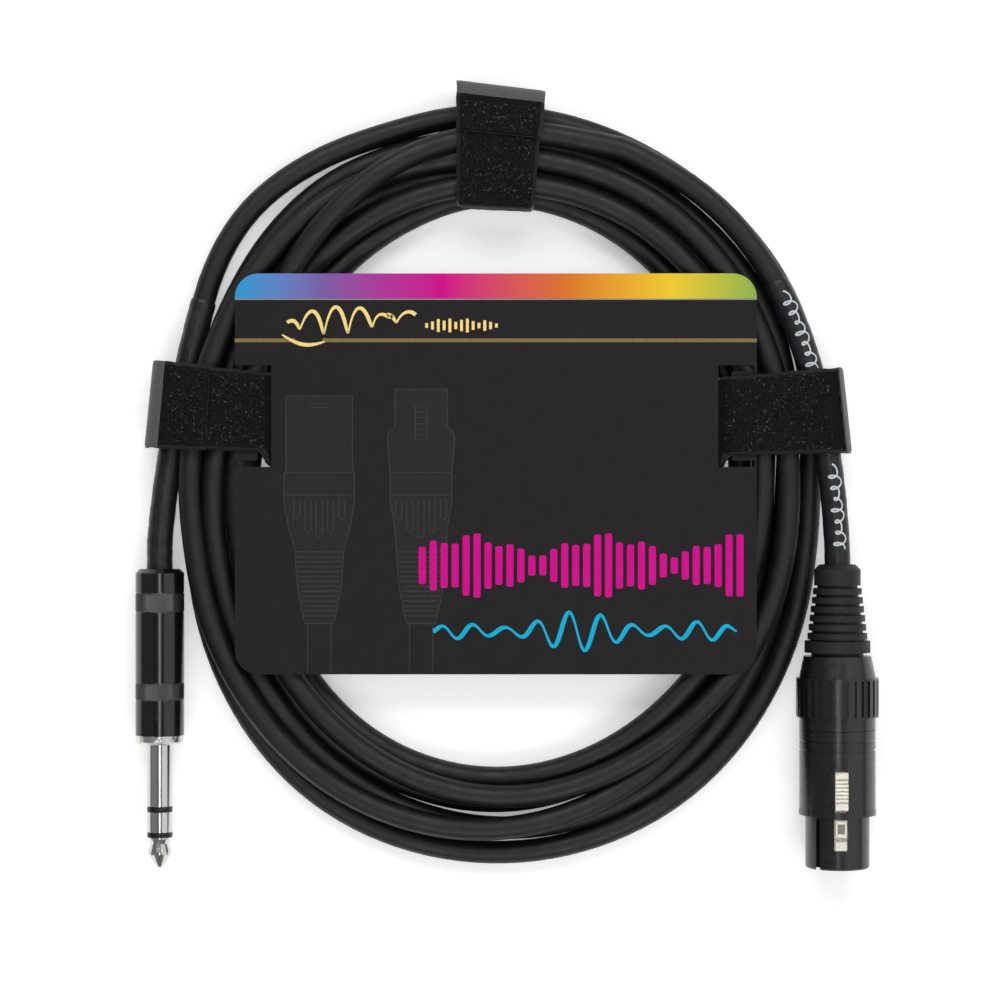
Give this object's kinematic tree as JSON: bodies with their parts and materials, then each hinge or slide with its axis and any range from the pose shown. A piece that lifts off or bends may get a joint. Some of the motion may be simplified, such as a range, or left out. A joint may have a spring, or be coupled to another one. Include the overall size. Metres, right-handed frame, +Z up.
{
  "type": "coiled audio cable",
  "caption": "Audio lead coiled flat in an oval, with a three-pole jack plug, a female XLR connector, fabric straps and a header card.",
  "frame": {"origin": "bottom centre of the bounding box, on the surface that the coil lies on", "axes": "+Z up out of the surface, +Y from the connectors to the top strap, +X across the coil to the XLR side"},
  "size_m": [0.1866, 0.1966, 0.0206],
  "materials": {
    "black_shell": "semi-gloss black lacquer",
    "nickel": "bright nickel plate",
    "latch_steel": "satin nickel-plated steel",
    "contact_brass": "plated brass",
    "black_insulator": "matt black nylon",
    "boot_rubber": "matt black rubber",
    "cable_jacket": "satin black flexible PVC",
    "shrink_sleeve": "satin black heat-shrink",
    "red_core": "red PVC insulation",
    "white_core": "white PVC insulation",
    "copper_screen": "bare copper strands",
    "strap_pile": "black nylon loop pile",
    "strap_backing": "smooth black woven nylon",
    "printed_card": "black printed card with a colour strip"
  },
  "bodies": {
    "lead": {"xlr_shell": "black_shell", "xlr_insert": "black_insulator", "xlr_contact_1": "contact_brass", "xlr_contact_2": "contact_brass", "xlr_contact_3": "contact_brass", "xlr_chuck": "black_insulator", "xlr_latch_pin": "latch_steel", "xlr_latch_spring": "latch_steel", "xlr_shield_drain": "copper_screen", "xlr_core_hot": "red_core", "xlr_core_cold": "white_core", "xlr_heat_shrink": "shrink_sleeve", "jack_collar": "nickel", "jack_sleeve": "nickel", "jack_ring_insulator": "black_insulator", "jack_ring_contact": "nickel", "jack_tip_insulator": "black_insulator", "jack_tip": "nickel", "jack_tip_lug": "contact_brass", "jack_ring_lug": "contact_brass", "jack_lug_washer": "black_insulator", "jack_cable_clamp": "contact_brass", "jack_core_tip": "red_core", "jack_core_ring": "white_core", "jack_shield_drain": "copper_screen", "jack_heat_shrink": "shrink_sleeve", "cable_coil": "cable_jacket", "cable_tail_jack": "cable_jacket", "cable_tail_xlr": "cable_jacket", "strap_top": "strap_pile", "strap_left": "strap_pile", "strap_right": "strap_pile", "header_card": "printed_card"},
    "latch": {"xlr_latch": "latch_steel"},
    "top_tab": {"strap_top_tab": "strap_backing"},
    "left_tab": {"strap_left_tab": "strap_backing"},
    "right_tab": {"strap_right_tab": "strap_backing"},
    "boot": {"xlr_boot": "boot_rubber"},
    "cap": {"xlr_cap": "black_shell"},
    "liner": {"jack_liner": "black_insulator"},
    "barrel": {"jack_barrel": "black_shell"}
  },
  "joints": [
    {"name": "latch_press", "type": "hinge", "parent": "lead", "child": "latch", "pos_m": [0.083, -0.0716, 0.0166], "axis": [1, 0, 0], "range_deg": [0, 5], "stiffness_Nm_per_rad": 0.03, "springref_deg": -8.59, "deforming": ["xlr_latch_spring"]},
    {"name": "top_tab_peel", "type": "hinge", "parent": "lead", "child": "top_tab", "pos_m": [-0.00138, 0.09458, 0.0133], "axis": [-0.9986, 0.0523, 0], "range_deg": [0, 100]},
    {"name": "left_tab_peel", "type": "hinge", "parent": "lead", "child": "left_tab", "pos_m": [-0.08577, 0.01841, 0.01395], "axis": [-0.0698, -0.9976, 0], "range_deg": [0, 100]},
    {"name": "right_tab_peel", "type": "hinge", "parent": "lead", "child": "right_tab", "pos_m": [0.08463, 0.01681, 0.0113], "axis": [0.0523, -0.9986, 0], "range_deg": [0, 100]},
    {"name": "cap_travel", "type": "slide", "parent": "lead", "child": "boot", "axis": [0, 1, 0], "range_m": [0, 0.004]},
    {"name": "cap_unscrew", "type": "hinge", "parent": "boot", "child": "cap", "pos_m": [0.083, -0.054, 0.0103], "axis": [0, 1, 0], "range_deg": [0, 1440]},
    {"name": "barrel_travel", "type": "slide", "parent": "lead", "child": "liner", "axis": [0, 1, 0], "range_m": [0, 0.004]},
    {"name": "barrel_unscrew", "type": "hinge", "parent": "liner", "child": "barrel", "pos_m": [-0.0872, -0.044, 0.00613], "axis": [0, 1, 0], "range_deg": [0, 1440]}
  ],
  "couplings": [
    {"joint": "cap_travel", "follows": "cap_unscrew", "m_per_rad": 0.00015915},
    {"joint": "barrel_travel", "follows": "barrel_unscrew", "m_per_rad": 0.00015915}
  ]
}
